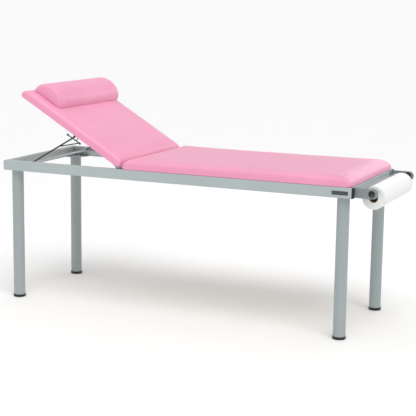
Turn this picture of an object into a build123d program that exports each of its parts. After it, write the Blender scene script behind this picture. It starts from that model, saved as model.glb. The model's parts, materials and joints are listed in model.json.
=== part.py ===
"""Examination couch: a welded tube frame on four round legs, a fixed seat pad, a backrest that rises about a
hinge and stands on a rod stay, a bolster pillow, and a paper-roll holder on the foot end. Millimetres, +Z up,
head towards -X, front towards -Y, origin on the floor under the middle of the couch's outline."""

import math
import os

from build123d import *

os.makedirs("parts", exist_ok=True)

# ---- driving dimensions ----------------------------------------------------------------------
FRAME_L = 1880
FRAME_W = 700
RAIL_TOP = 730
RAIL_H = 50
RAIL_W = 30
WALL = 2
LEG_R = 30
LEG_INSET = 53  # leg axis from the frame's two outer faces
FOOT_H = 14
PAD_T = 50
BOARD_T = 12
BACK_L = 678  # hinge axis to the backrest's head end
HEAD_TO_HINGE = 678  # frame's head end to the hinge axis
BACK_ANGLE = 30.5  # above level, as it stands
HINGE_DROP = 8  # hinge axis under the frame's top face
STAY_R = 315  # hinge axis to stay pivot, and stay pivot to crossbar
ROLL_R = 55
ROLL_OUT = 90  # roll axis beyond the foot end

HEAD_X = -(FRAME_L + ROLL_OUT + ROLL_R) / 2
FOOT_X = HEAD_X + FRAME_L
HALF_W = FRAME_W / 2
INNER_Y = HALF_W - RAIL_W
RAIL_BOTTOM = RAIL_TOP - RAIL_H
AXIS_X = HEAD_X + HEAD_TO_HINGE
AXIS_Z = RAIL_TOP - HINGE_DROP
SIDES = {"front": -1, "rear": 1}
ENDS = {"head": (HEAD_X, 1), "foot": (FOOT_X, -1)}
GAP = 0.4  # between the backrest lying flat and the frame

tilt = math.radians(BACK_ANGLE)
ALONG = Vector(-math.cos(tilt), 0, math.sin(tilt))  # from the hinge up the backrest
NORMAL = Vector(math.sin(tilt), 0, math.cos(tilt))  # out of its padded face
AXIS = Vector(AXIS_X, 0, AXIS_Z)


def save(name, piece):
    """Label a finished piece and write it."""
    piece.part.label = name
    export_step(piece.part, f"parts/{name}.step")


def side_plane(y):
    """Upright plane at this Y, drawn in X and Z, that extrudes towards -Y."""
    return Plane(origin=(0, y, 0), x_dir=(1, 0, 0), z_dir=(0, -1, 0))


def back_plane(y):
    """Plane at this Y, drawn up the backrest and along its normal from the axis, that extrudes towards +Y."""
    return Plane(origin=AXIS + Vector(0, y, 0), x_dir=ALONG, z_dir=(0, 1, 0))


def back_level(n):
    """Plane parallel to the padded face, n along the normal, drawn up the backrest and towards -Y."""
    return Plane(origin=AXIS + NORMAL * n, x_dir=ALONG, z_dir=NORMAL)


def band(sign, inner, outer):
    """Lower Y and thickness of a piece between two distances from the middle, on one side."""
    return min(sign * inner, sign * outer), outer - inner


def tube_section(width, height):
    """Square tube section with softened corners, at the current location."""
    RectangleRounded(width, height, 3)
    RectangleRounded(width - 2 * WALL, height - 2 * WALL, 1, mode=Mode.SUBTRACT)


def pad_outline(start, end, low, high, hinge_shoulder):
    """Outline along a pad from its hinge end to its outer end, with a rounded shoulder at each."""
    toward = math.copysign(1, end - start)
    with BuildLine() as outline:
        Polyline((start, high - hinge_shoulder), (start, low), (end, low), (end, high - END_SHOULDER))
        TangentArc((end, high - END_SHOULDER), (end - toward * END_SHOULDER, high), tangent=(0, 1))
        Line((end - toward * END_SHOULDER, high), (start + toward * hinge_shoulder, high))
        TangentArc(
            (start + toward * hinge_shoulder, high),
            (start, high - hinge_shoulder),
            tangent=(-toward, 0),
        )
    return outline.edges()


# ---- frame -----------------------------------------------------------------------------------
for side, sign in SIDES.items():
    with BuildPart() as side_rail:
        with BuildSketch(Plane.YZ.offset(HEAD_X)):
            with Locations((sign * (HALF_W - RAIL_W / 2), RAIL_TOP - RAIL_H / 2)):
                tube_section(RAIL_W, RAIL_H)
        extrude(amount=FRAME_L)
        split(bisect_by=Plane(origin=(HEAD_X, sign * HALF_W, 0), z_dir=(1, sign, 0)), keep=Keep.TOP)
    save(f"side_rail_{side}", side_rail)

with BuildPart() as head_rail:
    with BuildSketch(side_plane(HALF_W)):
        with Locations((HEAD_X + RAIL_W / 2, RAIL_TOP - RAIL_H / 2)):
            tube_section(RAIL_W, RAIL_H)
    extrude(amount=FRAME_W)
    for sign in SIDES.values():
        split(bisect_by=Plane(origin=(HEAD_X, sign * HALF_W, 0), z_dir=(-1, -sign, 0)), keep=Keep.TOP)
save("head_rail", head_rail)

ARM_SCREW_Y = INNER_Y - 18
ARM_SCREW_ZS = (RAIL_TOP - 14, RAIL_TOP - 36)
ARM_SCREW_R = 2.5
ARM_SCREW_HEAD = 2.5
with BuildPart() as foot_rail:
    with BuildSketch(side_plane(INNER_Y)):
        with Locations((FOOT_X - RAIL_W / 2, RAIL_TOP - RAIL_H / 2)):
            tube_section(RAIL_W, RAIL_H)
    extrude(amount=2 * INNER_Y)
    with BuildSketch(Plane.YZ.offset(FOOT_X)):
        with Locations(*[(sign * ARM_SCREW_Y, z) for sign in SIDES.values() for z in ARM_SCREW_ZS]):
            Circle(ARM_SCREW_R)
    extrude(amount=-2 * WALL, mode=Mode.SUBTRACT)
save("foot_rail", foot_rail)

CROSS = 30
CROSS_XS = {"hinge": AXIS_X + 50, "middle": AXIS_X + 620}  # under the seat
SEAT_BOLT_YS = (-250, 250)
SEAT_BOLT_R = 3
SEAT_NUT_R = 6
SEAT_NUT_H = 4
BOLT_FIT = 0.2
for place, x in CROSS_XS.items():
    with BuildPart() as cross_member:
        with BuildSketch(side_plane(INNER_Y)):
            with Locations((x, RAIL_TOP - CROSS / 2)):
                tube_section(CROSS, CROSS)
        extrude(amount=2 * INNER_Y)
        with Locations(*[(x, y, RAIL_TOP) for y in SEAT_BOLT_YS]):
            Hole(SEAT_BOLT_R + BOLT_FIT, depth=CROSS)
    save(f"cross_member_{place}", cross_member)

CAP_T = 6
CAP_PLUG = 16
for side, sign in SIDES.items():
    centre = (sign * (HALF_W - RAIL_W / 2), RAIL_TOP - RAIL_H / 2)
    with BuildPart() as rail_cap:
        with BuildSketch(Plane.YZ.offset(FOOT_X)):
            with Locations(centre):
                RectangleRounded(RAIL_W, RAIL_H, 3)
        extrude(amount=CAP_T)
        fillet(rail_cap.faces().sort_by(Axis.X)[-1].edges(), 2)
        with BuildSketch(Plane.YZ.offset(FOOT_X)):
            with Locations(centre):
                Rectangle(RAIL_W - 2 * WALL - 1, RAIL_H - 2 * WALL - 1)
        extrude(amount=-CAP_PLUG)
    save(f"rail_cap_{side}", rail_cap)

PLATE_X = FOOT_X - 56
PLATE_Z = RAIL_TOP - 26
PLATE_L = 78
PLATE_H = 18
PLATE_T = 1
with BuildPart() as maker_plate:
    with BuildSketch(side_plane(-HALF_W)):
        with Locations((PLATE_X, PLATE_Z)):
            RectangleRounded(PLATE_L, PLATE_H, 2)
    extrude(amount=PLATE_T)
save("blank_plate", maker_plate)

# ---- legs ------------------------------------------------------------------------------------
GUSSET = 95
GUSSET_T = 4
LEG_WALL = 2
DISC_T = 5
LEG_BOLT_R = 4
LEG_BOLT_PITCH = 26
BOLT_HEAD_R = 7
BOLT_HEAD_H = 5
leg_centres = [(end_x + way * LEG_INSET, sign * (HALF_W - LEG_INSET)) for end_x, way in ENDS.values()
               for sign in SIDES.values()]

with BuildPart() as gussets:
    for end_x, way in ENDS.values():
        for sign in SIDES.values():
            x = end_x + way * RAIL_W
            y = sign * INNER_Y
            with BuildSketch(Plane.XY.offset(RAIL_BOTTOM)):
                with BuildLine():
                    Polyline(
                        (x, y),
                        (x + way * GUSSET, y),
                        (x + way * GUSSET, y - sign * GUSSET / 3),
                        (x + way * GUSSET / 3, y - sign * GUSSET),
                        (x, y - sign * GUSSET),
                        close=True,
                    )
                make_face()
                with Locations((end_x + way * LEG_INSET, sign * (HALF_W - LEG_INSET))):
                    with GridLocations(LEG_BOLT_PITCH, LEG_BOLT_PITCH, 2, 2):
                        Circle(LEG_BOLT_R + BOLT_FIT, mode=Mode.SUBTRACT)
            extrude(amount=GUSSET_T)
save("corner_gussets", gussets)

with BuildPart() as leg_discs:
    with BuildSketch(Plane.XY.offset(RAIL_BOTTOM)):
        for centre in leg_centres:
            with Locations(centre):
                Circle(LEG_R - LEG_WALL)
                with GridLocations(LEG_BOLT_PITCH, LEG_BOLT_PITCH, 2, 2):
                    Circle(LEG_BOLT_R + BOLT_FIT, mode=Mode.SUBTRACT)
    extrude(amount=-DISC_T)
save("leg_top_discs", leg_discs)

with BuildPart() as leg_bolts:
    for centre in leg_centres:
        with BuildSketch(Plane.XY.offset(RAIL_BOTTOM + GUSSET_T)):
            with Locations(centre):
                with GridLocations(LEG_BOLT_PITCH, LEG_BOLT_PITCH, 2, 2):
                    RegularPolygon(BOLT_HEAD_R, 6)
        extrude(amount=BOLT_HEAD_H)
        with BuildSketch(Plane.XY.offset(RAIL_BOTTOM + GUSSET_T)):
            with Locations(centre):
                with GridLocations(LEG_BOLT_PITCH, LEG_BOLT_PITCH, 2, 2):
                    Circle(LEG_BOLT_R)
        extrude(amount=-(GUSSET_T + DISC_T + 5))
save("leg_bolts", leg_bolts)

FOOT_R = LEG_R + 2
FOOT_PLUG = 24
FOOT_PLUG_WALL = 4
FOOT_ROUND = 5
leg_names = [f"{end}_{side}" for end in ENDS for side in SIDES]
for name, centre in zip(leg_names, leg_centres):
    with BuildPart() as leg:
        with BuildSketch(Plane.XY.offset(FOOT_H)):
            with Locations(centre):
                Circle(LEG_R)
                Circle(LEG_R - LEG_WALL, mode=Mode.SUBTRACT)
        extrude(amount=RAIL_BOTTOM - FOOT_H)
    save(f"leg_{name}", leg)

    with BuildPart() as foot:
        with BuildSketch():
            with Locations(centre):
                Circle(FOOT_R)
        extrude(amount=FOOT_H)
        fillet(foot.faces().sort_by(Axis.Z)[0].edges(), FOOT_ROUND)
        fillet(foot.faces().sort_by(Axis.Z)[-1].edges(), 1)
        with BuildSketch(Plane.XY.offset(FOOT_H)):
            with Locations(centre):
                Circle(LEG_R - LEG_WALL)
                Circle(LEG_R - LEG_WALL - FOOT_PLUG_WALL, mode=Mode.SUBTRACT)
        extrude(amount=FOOT_PLUG)
    save(f"foot_{name}", foot)

# ---- seat ------------------------------------------------------------------------------------
BACK_SHOULDER = 48  # the backrest rolls over the seat as it rises
END_SHOULDER = 26
PAD_ROUND = 20  # the pad's long edges and upright corners
BOARD_IN = 16
SEAT_START = AXIS_X + 16
SEAT_MID = (SEAT_START + FOOT_X) / 2
SEAT_L = FOOT_X - SEAT_START

seat_outline = pad_outline(SEAT_START, FOOT_X, RAIL_TOP, RAIL_TOP + PAD_T, END_SHOULDER)
with BuildPart() as seat_cushion:
    with BuildSketch(side_plane(HALF_W)):
        make_face(seat_outline)
    extrude(amount=FRAME_W)
    for face in (seat_cushion.faces().sort_by(Axis.Y)[0], seat_cushion.faces().sort_by(Axis.Y)[-1]):
        fillet(face.edges().sort_by(Axis.Z)[1:], PAD_ROUND)
    with BuildSketch(Plane.XY.offset(RAIL_TOP)):
        with Locations((SEAT_MID, 0)):
            Rectangle(SEAT_L - 2 * BOARD_IN, FRAME_W - 2 * BOARD_IN)
    extrude(amount=BOARD_T, mode=Mode.SUBTRACT)
save("seat_cushion", seat_cushion)

with BuildPart() as seat_board:
    with BuildSketch(Plane.XY.offset(RAIL_TOP)):
        with Locations((SEAT_MID, 0)):
            Rectangle(SEAT_L - 2 * BOARD_IN, FRAME_W - 2 * BOARD_IN)
        with Locations(*[(x, y) for x in CROSS_XS.values() for y in SEAT_BOLT_YS]):
            Circle(SEAT_BOLT_R, mode=Mode.SUBTRACT)
    extrude(amount=BOARD_T)
save("seat_board", seat_board)

with BuildPart() as seat_bolts:
    spots = [(x, y) for x in CROSS_XS.values() for y in SEAT_BOLT_YS]
    with BuildSketch(Plane.XY.offset(RAIL_TOP - CROSS)):
        with Locations(*spots):
            RegularPolygon(SEAT_NUT_R, 6)
    extrude(amount=-SEAT_NUT_H)
    with BuildSketch(Plane.XY.offset(RAIL_TOP - CROSS)):
        with Locations(*spots):
            Circle(SEAT_BOLT_R)
    extrude(amount=CROSS + BOARD_T - 2)
save("seat_bolts", seat_bolts)

# ---- backrest --------------------------------------------------------------------------------
UNDER = HINGE_DROP + GAP  # underside of the board, above the hinge axis
BACK_START = 12
BACK_TOP = UNDER + PAD_T

back_outline = pad_outline(BACK_START, BACK_L, UNDER, BACK_TOP, BACK_SHOULDER)
with BuildPart() as back_cushion:
    with BuildSketch(back_plane(-HALF_W)):
        make_face(back_outline)
    extrude(amount=FRAME_W)
    for face in (back_cushion.faces().sort_by(Axis.Y)[0], back_cushion.faces().sort_by(Axis.Y)[-1]):
        fillet(face.edges().sort_by(lambda edge: edge.center().dot(NORMAL))[1:], PAD_ROUND)
    with BuildSketch(back_level(UNDER)):
        with Locations(((BACK_START + BACK_L) / 2, 0)):
            Rectangle(BACK_L - BACK_START - 2 * BOARD_IN, FRAME_W - 2 * BOARD_IN)
    extrude(amount=BOARD_T, mode=Mode.SUBTRACT)
save("backrest_cushion", back_cushion)

LEAF_T = 3  # plates screwed to the board
SCREW_R = 2
SCREW_L = 9
HINGE_SCREWS = [(s, sign * 292) for s in (50, 88) for sign in SIDES.values()]
BRACKET_SCREWS = [(s, sign * 299) for s in (STAY_R - 22, STAY_R + 22) for sign in SIDES.values()]
with BuildPart() as back_board:
    with BuildSketch(back_level(UNDER)):
        with Locations(((BACK_START + BACK_L) / 2, 0)):
            Rectangle(BACK_L - BACK_START - 2 * BOARD_IN, FRAME_W - 2 * BOARD_IN)
    extrude(amount=BOARD_T)
    with BuildSketch(back_level(UNDER)):
        with Locations(*HINGE_SCREWS, *BRACKET_SCREWS):
            Circle(SCREW_R)
    extrude(amount=SCREW_L, mode=Mode.SUBTRACT)
save("backrest_board", back_board)

with BuildPart() as board_screws:
    with BuildSketch(back_level(UNDER - LEAF_T)):
        with Locations(*HINGE_SCREWS, *BRACKET_SCREWS):
            Circle(SCREW_R)
    extrude(amount=LEAF_T + SCREW_L)
    with BuildSketch(back_level(UNDER - LEAF_T)):
        with Locations(*HINGE_SCREWS, *BRACKET_SCREWS):
            Circle(SCREW_R + 2)
    extrude(amount=-2)
save("board_screws", board_screws)

PIN_R = 4
LUG_R = UNDER - 0.2
PIN_FIT = 0.05
HINGE_LEAF = (24, 104)
HINGE_LEAF_W = 26
LEAF_KNEE = (28, -14)
HINGE_PIN_Y = 302
HINGE_WEB = (306, 311)  # distances from the middle of the couch
for side, sign in SIDES.items():
    with BuildPart() as hinge_leaf:
        low, thick = band(sign, *HINGE_WEB)
        with BuildSketch(back_plane(low)):
            Circle(LUG_R)
            with BuildLine():
                Polyline(
                    (0, -LUG_R),
                    LEAF_KNEE,
                    (HINGE_LEAF[1], UNDER - LEAF_T),
                    (HINGE_LEAF[1], UNDER),
                    (HINGE_LEAF[0], UNDER),
                    (0, LUG_R),
                    close=True,
                )
            make_face()
            Circle(PIN_R + PIN_FIT, mode=Mode.SUBTRACT)
        extrude(amount=thick)
        low, thick = band(sign, HINGE_WEB[0] - HINGE_LEAF_W, HINGE_WEB[1])
        with BuildSketch(back_plane(low)):
            with Locations((sum(HINGE_LEAF) / 2 + 5, UNDER - LEAF_T / 2)):
                Rectangle(HINGE_LEAF[1] - HINGE_LEAF[0] - 10, LEAF_T)
        extrude(amount=thick)
        with BuildSketch(back_level(UNDER - LEAF_T)):
            with Locations(*[spot for spot in HINGE_SCREWS if spot[1] * sign < 0]):
                Circle(SCREW_R)
        extrude(amount=LEAF_T, mode=Mode.SUBTRACT)
    save(f"hinge_leaf_{side}", hinge_leaf)

    with BuildPart() as hinge_pin:
        for radius, inner, outer in (
            (PIN_R, HINGE_PIN_Y, INNER_Y),
            (LUG_R - 1, HINGE_PIN_Y, HINGE_WEB[0] - 1),
            (LUG_R - 1, HINGE_WEB[1] + 1, INNER_Y),
        ):
            low, thick = band(sign, inner, outer)
            with BuildSketch(back_plane(low)):
                Circle(radius)
            extrude(amount=thick)
    save(f"hinge_pin_{side}", hinge_pin)

# ---- stay ------------------------------------------------------------------------------------
ROD_R = 4
EYE_R = 7.5
EYE_Y = (266, 274)
STAY_PIN_R = 3
LUG_Y = (279, 283)
BRACKET_Y = 306
BAR_Y = 290
BAR_N = -32
BAR_R = 3
BAR_KNOB_R = 5.5
BAR_POST_R = 2.5
BAR_POST_S = (STAY_R - 12, STAY_R + 12)
BAR_SPAN = (STAY_R - 36, STAY_R + 46)
PLATE_SPAN = (STAY_R - 32, STAY_R + 32)
for side, sign in SIDES.items():
    with BuildPart() as stay_bracket:
        low, thick = band(sign, LUG_Y[0], BRACKET_Y)
        with BuildSketch(back_plane(low)):
            with Locations((STAY_R, UNDER - LEAF_T / 2)):
                Rectangle(PLATE_SPAN[1] - PLATE_SPAN[0], LEAF_T)
        extrude(amount=thick)
        with BuildSketch(back_level(UNDER - LEAF_T)):
            with Locations(*[spot for spot in BRACKET_SCREWS if spot[1] * sign < 0]):
                Circle(SCREW_R)
        extrude(amount=LEAF_T, mode=Mode.SUBTRACT)
        low, thick = band(sign, *LUG_Y)
        with BuildSketch(back_plane(low)):
            with Locations((STAY_R, 0)):
                Circle(EYE_R)
            with Locations((STAY_R, UNDER / 2)):
                Rectangle(2 * EYE_R, UNDER)
        extrude(amount=thick)
        for radius, inner, outer in (
            (STAY_PIN_R, EYE_Y[0] - 3, LUG_Y[1]),
            (STAY_PIN_R + 2, EYE_Y[0] - 3, EYE_Y[0] - 1),
        ):
            low, thick = band(sign, inner, outer)
            with BuildSketch(back_plane(low)):
                with Locations((STAY_R, 0)):
                    Circle(radius)
            extrude(amount=thick)
    save(f"stay_bracket_{side}", stay_bracket)

    with BuildPart() as lock_bar:
        bar_start = AXIS + ALONG * BAR_SPAN[0] + NORMAL * BAR_N + Vector(0, sign * BAR_Y, 0)
        with BuildSketch(Plane(origin=bar_start, z_dir=ALONG)):
            Circle(BAR_R)
        extrude(amount=BAR_SPAN[1] - BAR_SPAN[0])
        for s in BAR_SPAN:
            with Locations(AXIS + ALONG * s + NORMAL * BAR_N + Vector(0, sign * BAR_Y, 0)):
                Sphere(BAR_KNOB_R)
        with BuildSketch(back_level(BAR_N)):
            with Locations(*[(s, -sign * BAR_Y) for s in BAR_POST_S]):
                Circle(BAR_POST_R)
        extrude(amount=UNDER - LEAF_T - BAR_N)
    save(f"lock_bar_{side}", lock_bar)

pivot = AXIS + ALONG * STAY_R
crossbar = Vector(AXIS_X - 2 * STAY_R * math.cos(tilt), 0, AXIS_Z)
stay_way = (crossbar - pivot).normalized()
BRACE_AT = 140  # down the stay rod from its pivot
BRACE_TIP = Vector(0, 0, -46)  # from the pivot
CROSSBAR_R = 6
CROSSBAR_Y = 316
for side, sign in SIDES.items():
    with BuildPart() as stay_arm:
        across = Vector(0, sign * sum(EYE_Y) / 2, 0)
        with BuildSketch(Plane(origin=pivot + across, z_dir=stay_way)):
            Circle(ROD_R)
        extrude(amount=STAY_R)
        joint_point = pivot + stay_way * BRACE_AT
        brace_way = BRACE_TIP + pivot - joint_point
        with BuildSketch(Plane(origin=joint_point + across, z_dir=brace_way)):
            Circle(ROD_R - 1)
        extrude(amount=brace_way.length)
        with Locations(pivot + BRACE_TIP + across):
            Sphere(ROD_R + 0.5)
        low, thick = band(sign, *EYE_Y)
        with BuildSketch(back_plane(low)):
            with Locations((STAY_R, 0)):
                Circle(EYE_R)
        extrude(amount=thick)
        with BuildSketch(back_plane(low)):
            with Locations((STAY_R, 0)):
                Circle(STAY_PIN_R + PIN_FIT)
        extrude(amount=thick, mode=Mode.SUBTRACT)
        with BuildSketch(side_plane(INNER_Y)):
            with Locations((crossbar.X, crossbar.Z)):
                Circle(CROSSBAR_R)
        extrude(amount=2 * INNER_Y, mode=Mode.SUBTRACT)
    save(f"stay_arm_{side}", stay_arm)

with BuildPart() as stay_crossbar:
    with BuildSketch(side_plane(CROSSBAR_Y)):
        with Locations((crossbar.X, crossbar.Z)):
            Circle(CROSSBAR_R)
    extrude(amount=2 * CROSSBAR_Y)
    fillet(stay_crossbar.edges().filter_by(GeomType.CIRCLE), 1)
save("stay_crossbar", stay_crossbar)

RACK_T = 8
RACK_TOP = AXIS_Z - CROSSBAR_R - 0.4
RACK_START = HEAD_X + RAIL_W + 6
RACK_L = 252
NOTCH_PITCH = 18
NOTCH_R = 6.5
NOTCH_RISE = 3.5  # notch centres above the rack's top edge
RACK_H = 26
RACK_SCREWS = (RACK_START + 20, RACK_START + RACK_L - 20)
RACK_SCREW_Z = RACK_TOP - 18
for side, sign in SIDES.items():
    low, thick = band(sign, INNER_Y - RACK_T, INNER_Y)
    with BuildPart() as rack:
        with BuildSketch(side_plane(low + thick)):
            with Locations((RACK_START + RACK_L / 2, RACK_TOP - RACK_H / 2)):
                Rectangle(RACK_L, RACK_H)
            with Locations((RACK_START + RACK_L / 2, RACK_TOP + NOTCH_RISE)):
                with GridLocations(NOTCH_PITCH, 1, int(RACK_L / NOTCH_PITCH) - 1, 1):
                    Circle(NOTCH_R, mode=Mode.SUBTRACT)
            with Locations(*[(x, RACK_SCREW_Z) for x in RACK_SCREWS]):
                Circle(SCREW_R, mode=Mode.SUBTRACT)
        extrude(amount=thick)
    save(f"stay_rack_{side}", rack)

with BuildPart() as rack_screws:
    for sign in SIDES.values():
        for radius, inner, outer in (
            (SCREW_R, INNER_Y - RACK_T, INNER_Y),
            (SCREW_R + 2, INNER_Y - RACK_T - 2, INNER_Y - RACK_T),
        ):
            low, thick = band(sign, inner, outer)
            with BuildSketch(side_plane(low + thick)):
                with Locations(*[(x, RACK_SCREW_Z) for x in RACK_SCREWS]):
                    Circle(radius)
            extrude(amount=thick)
save("rack_screws", rack_screws)

# ---- pillow ----------------------------------------------------------------------------------
PILLOW_S = 550
PILLOW_W = 182
PILLOW_H = 76
PILLOW_MID_Y = 12
PILLOW_L = 628
PILLOW_TUCK = 12  # the underside is narrower than the widest part by this on each side
PILLOW_WIDEST = 22  # height of the widest part
STRIP_T = 2
STRIP_W = 25
STRIP_L = PILLOW_L - 120
STRIP_S = (PILLOW_S - 35, PILLOW_S + 35)
with BuildPart() as pillow_strips:
    with BuildSketch(back_level(BACK_TOP)):
        with Locations(*[(s, -PILLOW_MID_Y) for s in STRIP_S]):
            Rectangle(STRIP_W, STRIP_L)
    extrude(amount=STRIP_T)
save("pillow_strips", pillow_strips)

with BuildPart() as pillow:
    with BuildSketch(back_plane(PILLOW_MID_Y - PILLOW_L / 2)):
        with BuildLine():
            low_n = BACK_TOP + STRIP_T
            half = PILLOW_W / 2
            Polyline((PILLOW_S - half + PILLOW_TUCK, low_n), (PILLOW_S + half - PILLOW_TUCK, low_n))
            ThreePointArc(
                (PILLOW_S + half - PILLOW_TUCK, low_n),
                (PILLOW_S + half - PILLOW_TUCK / 3, low_n + PILLOW_TUCK / 2),
                (PILLOW_S + half, low_n + PILLOW_WIDEST),
            )
            ThreePointArc(
                (PILLOW_S + half, low_n + PILLOW_WIDEST),
                (PILLOW_S, low_n + PILLOW_H),
                (PILLOW_S - half, low_n + PILLOW_WIDEST),
            )
            ThreePointArc(
                (PILLOW_S - half, low_n + PILLOW_WIDEST),
                (PILLOW_S - half + PILLOW_TUCK / 3, low_n + PILLOW_TUCK / 2),
                (PILLOW_S - half + PILLOW_TUCK, low_n),
            )
        make_face()
    extrude(amount=PILLOW_L)
save("pillow", pillow)

# ---- paper-roll holder -----------------------------------------------------------------------
ROLL_X = FOOT_X + ROLL_OUT
ARM_H = 46
ARM_Z = RAIL_TOP - 25
ARM_T = 4
ARM_HOLE_R = 16
ARM_FLANGE = 34  # screwed to the foot rail
BUSH_IN = 6
COLLAR_T = 2
ARM_END_X = ROLL_X + 3
HOLE_X = ROLL_X - 4
ROD_Z = ARM_Z - 8
HOLDER_ROD_R = 6
KNOB_RIM = 2.5
KNOB_T = 4
for side, sign in SIDES.items():
    low, thick = band(sign, INNER_Y - ARM_T, INNER_Y)
    with BuildPart() as roll_arm:
        with BuildSketch(side_plane(low + thick)):
            with Locations(((FOOT_X + ARM_END_X) / 2, ARM_Z)):
                Rectangle(ARM_END_X - FOOT_X, ARM_H)
            with Locations((ARM_END_X, ARM_Z)):
                Circle(ARM_H / 2)
            with Locations((HOLE_X, ARM_Z)):
                Circle(ARM_HOLE_R, mode=Mode.SUBTRACT)
        extrude(amount=thick)
        with BuildSketch(Plane.YZ.offset(FOOT_X)):
            with Locations((sign * (INNER_Y - ARM_FLANGE / 2), ARM_Z)):
                Rectangle(ARM_FLANGE, ARM_H)
            with Locations(*[(sign * ARM_SCREW_Y, z) for z in ARM_SCREW_ZS]):
                Circle(ARM_SCREW_R, mode=Mode.SUBTRACT)
        extrude(amount=ARM_T)
    save(f"roll_arm_{side}", roll_arm)

    with BuildPart() as roll_bush:
        for radius, inner, outer in (
            (ARM_HOLE_R, INNER_Y - ARM_T - BUSH_IN, INNER_Y),
            (ARM_HOLE_R + COLLAR_T, INNER_Y - ARM_T - COLLAR_T, INNER_Y - ARM_T),
        ):
            low, thick = band(sign, inner, outer)
            with BuildSketch(side_plane(low + thick)):
                with Locations((HOLE_X, ARM_Z)):
                    Circle(radius)
            extrude(amount=thick)
        with BuildSketch(side_plane(HALF_W)):
            with Locations((ROLL_X, ROD_Z)):
                Circle(HOLDER_ROD_R + PIN_FIT)
        extrude(amount=FRAME_W, mode=Mode.SUBTRACT)
    save(f"roll_bush_{side}", roll_bush)

with BuildPart() as arm_screws:
    spots = [(sign * ARM_SCREW_Y, z) for sign in SIDES.values() for z in ARM_SCREW_ZS]
    with BuildSketch(Plane.YZ.offset(FOOT_X + ARM_T)):
        with Locations(*spots):
            Circle(ARM_SCREW_R)
    extrude(amount=-(ARM_T + 2 * WALL))
    with BuildSketch(Plane.YZ.offset(FOOT_X + ARM_T)):
        with Locations(*spots):
            Circle(ARM_SCREW_R + ARM_SCREW_HEAD)
    extrude(amount=ARM_SCREW_HEAD)
save("roll_arm_screws", arm_screws)

with BuildPart() as holder_rod:
    with BuildSketch(side_plane(INNER_Y)):
        with Locations((ROLL_X, ROD_Z)):
            Circle(HOLDER_ROD_R)
    extrude(amount=2 * INNER_Y)
    with BuildSketch(side_plane(-INNER_Y)):
        with Locations((ROLL_X, ROD_Z)):
            Circle(HOLDER_ROD_R)
    extrude(amount=3)
    with BuildSketch(side_plane(-INNER_Y - 0.5)):
        with Locations((ROLL_X, ROD_Z)):
            Circle(HOLDER_ROD_R + KNOB_RIM)
    extrude(amount=KNOB_T)
save("holder_rod", holder_rod)

CORE_R = 19
CORE_WALL = 2
HANG = 0.3  # the roll hangs on its rod with this much room
ROLL_SPAN = (-300, 190)
ROLL_Z = ROD_Z + HOLDER_ROD_R + HANG - CORE_R
ROLL_TUBES = {"cardboard_core": (CORE_R + CORE_WALL, CORE_R), "paper_roll": (ROLL_R, CORE_R + CORE_WALL)}
for name, (outer, inner) in ROLL_TUBES.items():
    with BuildPart() as tube:
        with BuildSketch(side_plane(ROLL_SPAN[1])):
            with Locations((ROLL_X, ROLL_Z)):
                Circle(outer)
                Circle(inner, mode=Mode.SUBTRACT)
        extrude(amount=ROLL_SPAN[1] - ROLL_SPAN[0])
    save(name, tube)
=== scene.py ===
"""Examination couch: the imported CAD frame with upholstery, paper and finishes made here. Metres, +Z up."""

import json
import math
import random

import bmesh
import bpy
from mathutils import Matrix, Vector, noise


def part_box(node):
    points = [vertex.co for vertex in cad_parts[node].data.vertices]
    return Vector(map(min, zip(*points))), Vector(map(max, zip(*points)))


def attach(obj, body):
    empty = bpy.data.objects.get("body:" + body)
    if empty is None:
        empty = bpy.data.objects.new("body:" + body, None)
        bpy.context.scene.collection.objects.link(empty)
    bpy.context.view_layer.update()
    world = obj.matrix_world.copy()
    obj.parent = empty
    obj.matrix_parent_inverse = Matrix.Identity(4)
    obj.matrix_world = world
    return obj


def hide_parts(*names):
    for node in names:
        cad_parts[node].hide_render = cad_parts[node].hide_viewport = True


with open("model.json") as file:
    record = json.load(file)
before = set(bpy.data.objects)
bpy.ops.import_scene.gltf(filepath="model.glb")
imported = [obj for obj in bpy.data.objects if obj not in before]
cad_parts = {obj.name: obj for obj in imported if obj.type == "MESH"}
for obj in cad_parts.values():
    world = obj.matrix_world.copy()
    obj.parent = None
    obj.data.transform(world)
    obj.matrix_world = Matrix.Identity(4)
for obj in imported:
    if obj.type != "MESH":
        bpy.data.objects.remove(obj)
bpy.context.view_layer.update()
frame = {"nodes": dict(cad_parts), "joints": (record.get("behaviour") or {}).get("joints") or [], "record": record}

NODES = frame["nodes"]
RECORD = frame["record"]
JOINTS = {joint["name"]: joint for joint in frame["joints"]}


# ---- camera, light and floor -------------------------------------------------------------
def make_camera():
    """Long-lens view from the front, a little to the foot end and above the couch."""
    yaw = 0.419
    pitch = 0.1788
    roll = 0.0135
    look = Vector((-math.sin(yaw) * math.cos(pitch), math.cos(yaw) * math.cos(pitch), -math.sin(pitch)))
    level = Vector((math.cos(yaw), math.sin(yaw), 0))
    up = level.cross(look)
    right = level * math.cos(roll) + up * math.sin(roll)
    up = up * math.cos(roll) - level * math.sin(roll)
    data = bpy.data.cameras.new("camera")
    data.lens = 103.54
    data.sensor_width = 36
    data.clip_end = 3000
    camera = bpy.data.objects.new("camera", data)
    turn = Matrix((right, up, -look)).transposed()
    camera.matrix_world = Matrix.Translation((2.4605, -5.5326, 1.6033)) @ turn.to_4x4()
    bpy.context.scene.collection.objects.link(camera)
    bpy.context.scene.camera = camera


def area_light(name, place, size, power, target=(0, 0, 0.6)):
    """A large soft lamp aimed at the couch."""
    data = bpy.data.lights.new(name, "AREA")
    data.shape = "RECTANGLE"
    data.size, data.size_y = size
    data.energy = power
    lamp = bpy.data.objects.new(name, data)
    aim = (Vector(target) - Vector(place)).to_track_quat("-Z", "Y")
    lamp.matrix_world = Matrix.Translation(place) @ aim.to_matrix().to_4x4()
    bpy.context.scene.collection.objects.link(lamp)


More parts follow.
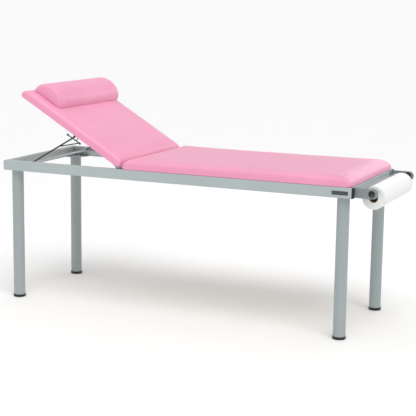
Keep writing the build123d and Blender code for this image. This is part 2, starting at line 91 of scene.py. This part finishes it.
def make_studio():
    """Pale floor, an even surround that looks white, a broad soft key from the foot side and two strips."""
    world = bpy.data.worlds.new("studio")
    world.use_nodes = True
    world.node_tree.nodes["Background"].inputs["Color"].default_value = (1, 1, 1, 1)
    seen = world.node_tree.nodes.new("ShaderNodeLightPath").outputs["Is Camera Ray"]
    strength = map_range(world.node_tree, seen, 0.7, 1.0)
    world.node_tree.links.new(strength, world.node_tree.nodes["Background"].inputs["Strength"])
    bpy.context.scene.world = world
    bpy.context.scene.view_settings.view_transform = "Standard"
    data = bpy.data.lights.new("key", "SUN")
    data.energy = 1.28
    data.angle = math.radians(40)
    key = bpy.data.objects.new("key", data)
    key.matrix_world = Vector((0.35, -0.45, 0.9)).to_track_quat("Z", "Y").to_matrix().to_4x4()
    bpy.context.scene.collection.objects.link(key)
    area_light("overhead", (-0.4, -0.6, 3.6), (4.2, 0.9), 12)
    area_light("back_strip", (0.9, 4.6, 1.7), (2.4, 0.8), 16, (0.4, 0, 0.75))
    mesh = bpy.data.meshes.new("floor")
    reach = 900
    corners = [(-reach, -reach, 0), (reach, -reach, 0), (reach, reach, 0), (-reach, reach, 0)]
    mesh.from_pydata(corners, [], [(0, 1, 2, 3)])
    floor = bpy.data.objects.new("floor", mesh)
    bpy.context.scene.collection.objects.link(floor)
    floor.data.materials.append(surface("floor", (0.94, 0.94, 0.94), 0.005, 3, (0.7, 0.8), 60, 0.02, 0.0005))


# ---- materials ---------------------------------------------------------------------------
def shader(name):
    """A new node material and its Principled shader."""
    material = bpy.data.materials.new(name)
    material.use_nodes = True
    tree = material.node_tree
    return material, tree, tree.nodes["Principled BSDF"]


def object_space(tree, stretch=(1, 1, 1)):
    """Object coordinates in metres, stretched along the axes."""
    coordinates = tree.nodes.new("ShaderNodeTexCoord")
    mapping = tree.nodes.new("ShaderNodeMapping")
    mapping.inputs["Scale"].default_value = stretch
    tree.links.new(coordinates.outputs["Object"], mapping.inputs["Vector"])
    return mapping.outputs["Vector"]


def noise_texture(tree, place, scale, detail=3.0):
    """Noise whose scale is in repeats per metre."""
    texture = tree.nodes.new("ShaderNodeTexNoise")
    texture.inputs["Scale"].default_value = scale
    texture.inputs["Detail"].default_value = detail
    tree.links.new(place, texture.inputs["Vector"])
    return texture.outputs["Fac"]


def map_range(tree, value, low, high, start=0.3, stop=0.7):
    """Value spread from low to high as it goes from start to stop."""
    node = tree.nodes.new("ShaderNodeMapRange")
    node.inputs["From Min"].default_value = start
    node.inputs["From Max"].default_value = stop
    node.inputs["To Min"].default_value = low
    node.inputs["To Max"].default_value = high
    tree.links.new(value, node.inputs["Value"])
    return node.outputs["Result"]


def blend_colours(tree, factor, first, second):
    """Mix of two colours, the first of them plain or from another node, by a factor from a texture."""
    node = tree.nodes.new("ShaderNodeMix")
    node.data_type = "RGBA"
    if isinstance(first, tuple):
        node.inputs["A"].default_value = (*first, 1)
    else:
        tree.links.new(first, node.inputs["A"])
    node.inputs["B"].default_value = (*second, 1)
    tree.links.new(factor, node.inputs["Factor"])
    return node.outputs["Result"]


def add_bump(tree, principled, height, strength, depth, under=None):
    """Bump of a real depth in metres, on top of another bump where there is one."""
    node = tree.nodes.new("ShaderNodeBump")
    node.inputs["Strength"].default_value = strength
    node.inputs["Distance"].default_value = depth
    tree.links.new(height, node.inputs["Height"])
    if under is not None:
        tree.links.new(under, node.inputs["Normal"])
    tree.links.new(node.outputs["Normal"], principled.inputs["Normal"])
    return node.outputs["Normal"]


def surface(name, colour, variation, patch_scale, rough, grain_scale, grain, grain_depth, stretch=(1, 1, 1)):
    """A finish with patchy colour, uneven roughness and a fine grain."""
    material, tree, principled = shader(name)
    place = object_space(tree, stretch)
    patches = noise_texture(tree, place, patch_scale)
    darker = tuple(channel * (1 - variation) for channel in colour)
    lighter = tuple(min(1, channel * (1 + variation)) for channel in colour)
    mottled = blend_colours(tree, map_range(tree, patches, 0, 1), darker, lighter)
    tree.links.new(mottled, principled.inputs["Base Color"])
    tree.links.new(map_range(tree, patches, *rough), principled.inputs["Roughness"])
    add_bump(tree, principled, noise_texture(tree, place, grain_scale, 2), grain, grain_depth)
    return material


def painted(name, colour, wear=(0.55, 0.58, 0.58)):
    """Powder coat with orange peel, faint scuffs and paler edges."""
    material, tree, principled = shader(name)
    place = object_space(tree)
    patches = noise_texture(tree, place, 7)
    scuffs = noise_texture(tree, object_space(tree, (0.25, 1, 1)), 160, 6)
    darker = tuple(channel * 0.95 for channel in colour)
    lighter = tuple(channel * 1.05 for channel in colour)
    base = blend_colours(tree, map_range(tree, patches, 0, 1), darker, lighter)
    marked = blend_colours(tree, map_range(tree, scuffs, 0, 0.25, 0.66, 0.8), base, wear)
    geometry = tree.nodes.new("ShaderNodeNewGeometry")
    edge = map_range(tree, geometry.outputs["Pointiness"], 0, 0.35, 0.54, 0.62)
    tree.links.new(blend_colours(tree, edge, marked, wear), principled.inputs["Base Color"])
    tree.links.new(map_range(tree, patches, 0.34, 0.44), principled.inputs["Roughness"])
    principled.inputs["Coat Weight"].default_value = 0.15
    principled.inputs["Coat Roughness"].default_value = 0.25
    add_bump(tree, principled, noise_texture(tree, place, 700, 2), 0.22, 0.00025)
    return material


def leatherette():
    """Soft vinyl with a fine pebble grain whose grooves carry painted shade, faint cloth backing waves and a
    gentle sheen.
    """
    material, tree, principled = shader("leatherette")
    place = object_space(tree)
    patches = noise_texture(tree, place, 5)
    pink_low = (0.79, 0.300, 0.460)
    pink_high = (0.83, 0.325, 0.490)
    # painted shade: a darker pink for the grooves of the grain
    pink_groove_shade = (0.70, 0.22, 0.38)
    base = blend_colours(tree, map_range(tree, patches, 0, 1), pink_low, pink_high)
    pebbles = tree.nodes.new("ShaderNodeTexVoronoi")
    pebbles.feature = "SMOOTH_F1"
    pebbles.inputs["Scale"].default_value = 620
    tree.links.new(place, pebbles.inputs["Vector"])
    grain = pebbles.outputs["Distance"]
    # painted shade: the grain's grooves (the far edges of its cells) are darkened in the colour
    grooves_shaded = blend_colours(tree, map_range(tree, grain, 0, 0.16, 0.45, 0.9), base, pink_groove_shade)
    tree.links.new(grooves_shaded, principled.inputs["Base Color"])
    shine = map_range(tree, noise_texture(tree, place, 60), 0.36, 0.46)
    tree.links.new(shine, principled.inputs["Roughness"])
    principled.inputs["Sheen Weight"].default_value = 0.12
    principled.inputs["Coat Weight"].default_value = 0.12
    principled.inputs["Coat Roughness"].default_value = 0.35
    waves = add_bump(tree, principled, noise_texture(tree, place, 14, 2), 0.25, 0.0014)
    add_bump(tree, principled, grain, 0.16, 0.0003, waves)
    return material


def plywood():
    """Birch ply with long grain."""
    material, tree, principled = shader("board")
    place = object_space(tree, (1, 9, 9))
    rings = tree.nodes.new("ShaderNodeTexWave")
    rings.wave_type = "BANDS"
    rings.bands_direction = "Y"
    rings.inputs["Scale"].default_value = 2.2
    rings.inputs["Distortion"].default_value = 9
    rings.inputs["Detail"].default_value = 4
    tree.links.new(place, rings.inputs["Vector"])
    wood = blend_colours(tree, rings.outputs["Fac"], (0.50, 0.34, 0.19), (0.66, 0.49, 0.31))
    tree.links.new(wood, principled.inputs["Base Color"])
    tree.links.new(map_range(tree, rings.outputs["Fac"], 0.5, 0.7, 0, 1), principled.inputs["Roughness"])
    add_bump(tree, principled, rings.outputs["Fac"], 0.2, 0.0004)
    return material


def tissue():
    """Embossed couch-roll paper: small raised dots in rows and a crimped surface."""
    material, tree, principled = shader("tissue")
    place = object_space(tree)
    dots = tree.nodes.new("ShaderNodeTexVoronoi")
    dots.inputs["Scale"].default_value = 230
    dots.inputs["Randomness"].default_value = 0.15
    tree.links.new(place, dots.inputs["Vector"])
    crepe = noise_texture(tree, object_space(tree, (1, 0.15, 1)), 420, 3)
    paper = blend_colours(tree, map_range(tree, crepe, 0, 1), (0.82, 0.825, 0.815), (0.90, 0.905, 0.895))
    tree.links.new(paper, principled.inputs["Base Color"])
    tree.links.new(map_range(tree, crepe, 0.8, 0.95), principled.inputs["Roughness"])
    principled.inputs["Subsurface Weight"].default_value = 0.1
    principled.inputs["Subsurface Radius"].default_value = (0.004, 0.004, 0.004)
    creases = add_bump(tree, principled, crepe, 0.35, 0.0006)
    add_bump(tree, principled, dots.outputs["Distance"], 0.35, 0.0006, creases)
    return material


def zinc():
    """Zinc-plated steel, faintly mottled and brushed along."""
    material = surface("zinc", (0.44, 0.47, 0.50), 0.08, 40, (0.25, 0.42), 900, 0.12, 0.0001, (0.2, 1, 1))
    material.node_tree.nodes["Principled BSDF"].inputs["Metallic"].default_value = 1
    return material


MATERIALS = {
    "leatherette": leatherette(),
    "board": plywood(),
    "hook_strip": surface("hook_strip", (0.8, 0.8, 0.8), 0.06, 200, (0.85, 0.95), 1500, 0.6, 0.0006),
    "black_plastic": surface("black_plastic", (0.010, 0.012, 0.013), 0.2, 25, (0.5, 0.62), 900, 0.3, 0.0002),
    "frame_paint": painted("frame_paint", (0.325, 0.395, 0.40)),
    "leg_paint": painted("leg_paint", (0.20, 0.262, 0.275)),
    "arm_paint": painted("arm_paint", (0.115, 0.15, 0.16), (0.4, 0.43, 0.44)),
    "black_steel": painted("black_steel", (0.015, 0.018, 0.02), (0.1, 0.1, 0.11)),
    "tissue": tissue(),
    "core_card": surface("core_card", (0.36, 0.23, 0.12), 0.12, 60, (0.8, 0.92), 700, 0.4, 0.0004),
    "plate": surface("plate", (0.05, 0.055, 0.06), 0.15, 30, (0.2, 0.3), 600, 0.08, 0.0001),
    "zinc": zinc(),
}


def finish_cad_nodes():
    """Each CAD node takes the finish that the record names for it."""
    for subpart in RECORD["subparts"]:
        node = NODES[subpart["node"]]
        for material_slot in node.material_slots:
            material_slot.material = MATERIALS[subpart["material_slot"]]
        if not node.material_slots:
            node.data.materials.append(MATERIALS[subpart["material_slot"]])


# ---- soft pieces -------------------------------------------------------------------------
def add_object(name, mesh):
    """Link a mesh as a new smooth object."""
    piece = bpy.data.objects.new(name, mesh)
    bpy.context.scene.collection.objects.link(piece)
    for polygon in mesh.polygons:
        polygon.use_smooth = True
    return piece


def ring_points(x_span, y_half, insets, height, steps=8):
    """Rounded rectangle at a height, drawn in from a panel's outline at hinge end, sides and outer end."""
    hinge_in, side_in, outer_in = insets
    x_low, x_high = x_span[0] + hinge_in, x_span[1] - outer_in
    y_high = y_half - side_in
    points = []
    for x_end, side, start in ((1, 1, 0), (0, 1, 90), (0, -1, 180), (1, -1, 270)):
        radius = min(CORNERS[x_end] + side_in, CORNER_LIMIT)
        centre_x = x_high - radius if x_end else x_low + radius
        centre_y = side * (y_high - radius)
        for step in range(steps + 1):
            angle = math.radians(start + 90 * step / steps)
            points.append((centre_x + radius * math.cos(angle), centre_y + radius * math.sin(angle), height))
    return points


def loft(rings):
    """Closed mesh through rings of equal length, capped at both ends."""
    mesh = bmesh.new()
    loops = [[mesh.verts.new(point) for point in ring] for ring in rings]
    for lower, upper in zip(loops, loops[1:]):
        for index in range(len(lower)):
            following = (index + 1) % len(lower)
            mesh.faces.new((lower[index], lower[following], upper[following], upper[index]))
    mesh.faces.new(list(reversed(loops[0])))
    mesh.faces.new(loops[-1])
    bmesh.ops.recalc_face_normals(mesh, faces=mesh.faces)
    return mesh


def apply_modifiers(piece):
    """Bake every modifier of a piece into its mesh."""
    evaluated = piece.evaluated_get(bpy.context.evaluated_depsgraph_get())
    mesh = bpy.data.meshes.new_from_object(evaluated)
    piece.modifiers.clear()
    piece.data = mesh
    for polygon in mesh.polygons:
        polygon.use_smooth = True


def remesh(piece, voxel):
    """Even quads over the whole piece."""
    modifier = piece.modifiers.new("remesh", "REMESH")
    modifier.mode = "VOXEL"
    modifier.voxel_size = voxel
    apply_modifiers(piece)


def inflate(piece, held, cap, pressure=4.0, frames=20):
    """Swell a piece by cloth simulation; held says which points stay, and no point moves further than cap."""
    rest = [vertex.co.copy() for vertex in piece.data.vertices]
    group = piece.vertex_groups.new(name="held")
    group.add([index for index, point in enumerate(rest) if held(point)], 1.0, "REPLACE")
    modifier = piece.modifiers.new("cloth", "CLOTH")
    settings = modifier.settings
    settings.quality = 5
    settings.mass = 0.3
    settings.use_pressure = True
    settings.uniform_pressure_force = pressure
    settings.effector_weights.gravity = 0
    settings.vertex_group_mass = "held"
    scene = bpy.context.scene
    for number in range(1, frames + 1):
        scene.frame_set(number)
    apply_modifiers(piece)
    for vertex, start in zip(piece.data.vertices, rest):
        move = vertex.co - start
        if move.length > cap:
            vertex.co = start + move * (cap / move.length)
    piece.vertex_groups.clear()
    scene.frame_set(1)


def subdivide(piece):
    """One smoothing subdivision."""
    modifier = piece.modifiers.new("smooth", "SUBSURF")
    modifier.levels = modifier.render_levels = 1
    apply_modifiers(piece)


def node_span(node, origin, along, normal):
    """How far a CAD node reaches along and across a panel, from an origin."""
    points = [vertex.co - origin for vertex in NODES[node].data.vertices]
    steps = [point.dot(along) for point in points]
    heights = [point.dot(normal) for point in points]
    return (min(steps), max(steps)), (min(heights), max(heights))


TRIM = 0.001  # cover inside the CAD pad before it swells
POCKET_IN = 0.0155  # the board's pocket, in from the edge of the pad
POCKET_DEPTH = 0.0125
CORNERS = (0.010, 0.016)  # plan corner at the base: hinge end, outer end
CORNER_LIMIT = 0.05
CAP_INSET = 0.20  # the last ring before a flat cap
HEM = 0.004  # rounding where the cover turns under the pad
SIDE_SHOULDER = 0.027
OUTER_SHOULDER = (0.050, 0.038)  # how far in and how far down the outer end falls away
ROLL_OFF = 1.68  # fullness of the shoulder at the hinge: 2 is a quarter circle
PAD_VOXEL = 0.0065
PUFF = 0.0045
WAVE = 0.0007  # slow unevenness of the foam
GATHER = 0.0009  # small gathers near the edge
GATHER_IN = 0.05


def make_pad(name, node, body, origin, along, normal, overhang, hinge_shoulder):
    """Upholstered panel: foam on a board in a drawn, crowned cover that stands proud towards the hinge."""
    span, heights = node_span(node, origin, along, normal)
    base = heights[0]
    top = heights[1] - base - PUFF * 0.6
    half = -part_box(node)[0][1] - TRIM
    x_span = (span[0] + TRIM - overhang, span[1] - TRIM)
    inner = (CAP_INSET, CAP_INSET, CAP_INSET)
    pocket = (POCKET_IN + overhang, POCKET_IN, POCKET_IN)
    rings = [ring_points(x_span, half, inner, POCKET_DEPTH)]
    rings += [ring_points(x_span, half, pocket, height) for height in (POCKET_DEPTH, 0.0)]
    rings.append(ring_points(x_span, half, (HEM, HEM, HEM), 0.0))
    rings.append(ring_points(x_span, half, (0.0, 0.0, 0.0), HEM))
    reach, drop = OUTER_SHOULDER
    rounds = 12
    for step in range(rounds + 1):
        angle = math.radians(90 * step / rounds)
        height = top - drop * (1 - math.sin(angle))
        climb = max(0.0, height - top + SIDE_SHOULDER) / SIDE_SHOULDER
        side_in = SIDE_SHOULDER * (1 - math.sqrt(max(0.0, 1 - climb ** 2)))
        rings.append(ring_points(x_span, half, (side_in, side_in, reach * (1 - math.cos(angle))), height))
    rings.append(ring_points(x_span, half, inner, top + 0.001))
    mesh = bpy.data.meshes.new(name)
    shape = loft(rings)
    shape.to_mesh(mesh)
    shape.free()
    piece = add_object(name, mesh)
    remesh(piece, PAD_VOXEL)

    def held(point):
        edge = min(point.x - x_span[0], x_span[1] - point.x, half - abs(point.y))
        on_board = point.z < POCKET_DEPTH + 0.0035 and edge > POCKET_IN - HEM
        return on_board or point.z < HEM

    inflate(piece, held, PUFF)
    subdivide(piece)
    centre_x = x_span[0] + hinge_shoulder
    centre_z = heights[1] - base - hinge_shoulder
    for vertex in piece.data.vertices:
        point = vertex.co
        edge = min(x_span[1] - point.x, half - abs(point.y))
        if point.z > POCKET_DEPTH + 0.004:
            point.z += WAVE * noise.noise(Vector((point.x * 9, point.y * 9, 3.1)))
            pull = max(0.0, 1 - edge / GATHER_IN) * GATHER
            point.z += pull * noise.noise(Vector((point.x * 46, point.y * 46, 1.7)))
        if point.x < centre_x and point.z > centre_z:
            inward = (centre_x - point.x) / hinge_shoulder
            upward = (point.z - centre_z) / hinge_shoulder
            bulge = (inward ** ROLL_OFF + upward ** ROLL_OFF) ** (1 / ROLL_OFF)
            if bulge > 1:
                point.x = centre_x - inward / bulge * hinge_shoulder
                point.z = centre_z + upward / bulge * hinge_shoulder
    across = normal.cross(along)
    turn = Matrix((along, across, normal)).transposed().to_4x4()
    piece.data.transform(Matrix.Translation(origin + normal * base) @ turn)
    piece.data.materials.append(MATERIALS["leatherette"])
    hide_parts(node)
    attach(piece, body)


def make_pillow(origin, along, normal):
    """Half-round bolster with softly rounded end panels."""
    span, heights = node_span("pillow", origin, along, normal)
    low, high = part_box("pillow")[0][1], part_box("pillow")[1][1]
    width, height = span[1] - span[0], heights[1] - heights[0]
    middle = (span[0] + span[1]) / 2
    waist = height * 0.1  # upright part of the sides
    arc_steps = 32

    def section(y, shrink):
        """D-shaped ring at y, with a flat base, drawn in all round by shrink."""
        half = width / 2 - shrink
        points = []
        for step in range(arc_steps + 1):
            angle = math.pi * step / arc_steps
            rise = (height - shrink - waist) * math.sin(angle)
            points.append((middle + half * math.cos(angle), y, waist + rise))
        lower = ((half, waist * 0.5), (half, 0.0))
        points += [(middle - x, y, max(z, shrink * 0.3)) for x, z in lower]
        points += [(middle + x, y, max(z, shrink * 0.3)) for x, z in reversed(lower)]
        return points

    ends = ((0.0, 0.022), (0.002, 0.012), (0.007, 0.005), (0.014, 0.002), (0.022, 0.0006))
    near_y, far_y = low + 0.002, high - 0.002
    first, last = near_y + ends[-1][0], far_y - ends[-1][0]
    steps = 24
    rings = [section(near_y + reach, shrink) for reach, shrink in ends]
    rings += [section(first + (last - first) * step / steps, 0.0006) for step in range(1, steps)]
    rings += [section(far_y - reach, shrink) for reach, shrink in reversed(ends)]
    mesh = bpy.data.meshes.new("pillow_cover")
    shape = loft(rings)
    shape.to_mesh(mesh)
    shape.free()
    piece = add_object("pillow_cover", mesh)
    remesh(piece, 0.004)
    inflate(piece, lambda point: point.z < 0.003, 0.004)
    subdivide(piece)
    for vertex in piece.data.vertices:
        point = vertex.co
        from_end = min(point.y - low, high - point.y)
        fade = max(0.0, 1 - from_end / 0.09)
        point.z += point.z / height * fade * 0.0012 * noise.noise(Vector((point.x * 60, point.y * 12, 5.3)))
        point.z = max(point.z, 0.0)
    across = Vector((0, 1, 0))
    turn = Matrix((along, across, normal)).transposed().to_4x4()
    sink = 0.006  # it presses a little into the backrest
    rest_height = heights[0] - sink
    piece.data.transform(Matrix.Translation(origin + normal * rest_height) @ turn)
    piece.data.materials.append(MATERIALS["leatherette"])
    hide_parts("pillow")
    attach(piece, "backrest")


# ---- paper roll --------------------------------------------------------------------------
def make_paper_roll():
    """Wound tissue: uneven layers on the end faces and a loose tail."""
    low, high = (Vector(corner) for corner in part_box("paper_roll"))
    axis_x, axis_z = (low.x + high.x) / 2, (low.z + high.z) / 2
    outer = (high.x - low.x) / 2 - 0.0008
    core_low, core_high = (Vector(corner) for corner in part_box("cardboard_core"))
    inner = (core_high.x - core_low.x) / 2 + 0.0003
    layers = 17
    layer_step = 0.0011  # most that one group of layers stands back from another
    groove = 0.0009
    draw = random.Random(4)
    offsets = [draw.uniform(0, layer_step) for _ in range(layers + 1)]
    profile = []
    for index in range(layers + 1):
        radius = inner + (outer - inner) * index / layers
        profile.append((radius, low.y + offsets[index]))
        if index < layers:
            profile.append((radius + (outer - inner) / layers * 0.5, low.y + offsets[index] + groove))
    ripple = 0.0003
    stations = 30
    length = high.y - low.y
    tube = [(outer + ripple * math.sin(k * 1.9), low.y + length * k / stations) for k in range(1, stations)]
    back = [(radius, low.y + high.y - y) for radius, y in reversed(profile)]
    outline = profile + tube + back
    turns = 96
    shape = bmesh.new()

    def spot(radius, angle, y):
        """New vertex at an angle about the roll's axis."""
        return shape.verts.new((axis_x + radius * math.cos(angle), y, axis_z + radius * math.sin(angle)))

    columns = []
    for turn in range(turns):
        angle = 2 * math.pi * turn / turns
        wobble = 1 + 0.004 * math.sin(angle * 2 + 0.6)  # the outer layers sag a little out of round
        column = [spot(radius * (wobble if radius > inner * 1.5 else 1), angle, y) for radius, y in outline]
        columns.append(column)
    for turn in range(turns):
        here, there = columns[turn], columns[(turn + 1) % turns]
        for index in range(len(outline)):
            following = (index + 1) % len(outline)
            shape.faces.new((here[index], here[following], there[following], there[index]))
    tail_thick = 0.0006
    tail_steps = 12
    tail = [(math.radians(150 - 3 * k), 0.0004 + 0.0000045 * k ** 3 * 0.5) for k in range(tail_steps)]
    sides = []
    for y in (low.y + 0.001, high.y - 0.001):
        for skin in (0.0, tail_thick):
            sides.append([spot(outer + lift + skin, angle, y) for angle, lift in tail])
    for first, second in ((0, 1), (1, 3), (3, 2), (2, 0)):
        for k in range(tail_steps - 1):
            shape.faces.new((sides[first][k], sides[second][k], sides[second][k + 1], sides[first][k + 1]))
    for k in (0, tail_steps - 1):
        shape.faces.new((sides[0][k], sides[1][k], sides[3][k], sides[2][k]))
    bmesh.ops.recalc_face_normals(shape, faces=shape.faces)
    mesh = bpy.data.meshes.new("wound_paper")
    shape.to_mesh(mesh)
    shape.free()
    piece = add_object("wound_paper", mesh)
    piece.data.materials.append(MATERIALS["tissue"])
    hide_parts("paper_roll")
    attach(piece, "roll")


make_camera()
make_studio()
finish_cad_nodes()
hinge = Vector(JOINTS["backrest_hinge"]["pos_m"])
up_backrest = (Vector(JOINTS["stay_pivot"]["pos_m"]) - hinge).normalized()
off_backrest = Vector((up_backrest.z, 0, -up_backrest.x))
make_pad("seat_cover", "seat_cushion", "frame", hinge, Vector((1, 0, 0)), Vector((0, 0, 1)), overhang=0.007,
         hinge_shoulder=0.044)
make_pad("backrest_cover", "backrest_cushion", "backrest", hinge, up_backrest, off_backrest, overhang=0.005,
         hinge_shoulder=0.048)
make_pillow(hinge, up_backrest, off_backrest)
make_paper_roll()
